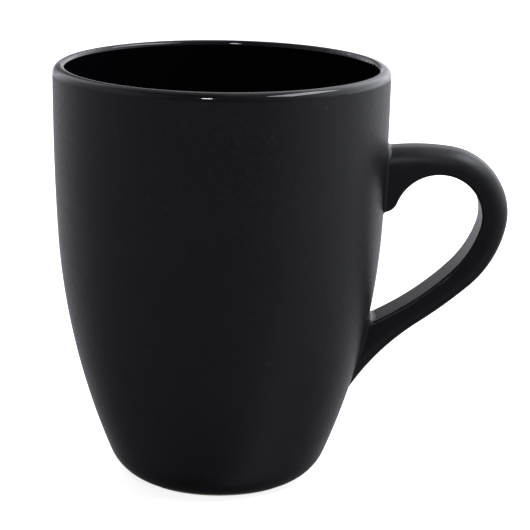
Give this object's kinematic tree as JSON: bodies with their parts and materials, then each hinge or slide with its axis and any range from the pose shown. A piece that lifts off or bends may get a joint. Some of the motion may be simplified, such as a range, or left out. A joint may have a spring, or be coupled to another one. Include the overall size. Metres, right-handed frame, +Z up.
{
  "type": "ceramic mug",
  "caption": "Tall barrel-shaped stoneware mug with a matt charcoal outside, a gloss black inside and lip, and an ear-shaped strap handle.",
  "frame": {"origin": "middle of the foot ring, on the surface that the mug stands on", "axes": "+Z up through the mouth, +X from the cup's axis out through the handle, +Y completes the right-handed set"},
  "size_m": [0.1155, 0.085, 0.107],
  "materials": {
    "bare_stoneware": "matt, unglazed and slightly toothy",
    "fired_slip": "matt, unglazed",
    "gloss_black_glaze": "high gloss",
    "matt_charcoal_glaze": "satin matt with a fine tooth"
  },
  "bodies": {
    "root": {"cup_body": "bare_stoneware", "handle": "bare_stoneware", "upper_slip_joint": "fired_slip", "lower_slip_joint": "fired_slip", "liner_glaze": "gloss_black_glaze", "exterior_glaze": "matt_charcoal_glaze", "handle_glaze": "matt_charcoal_glaze", "foot_recess_glaze": "gloss_black_glaze"}
  },
  "joints": []
}
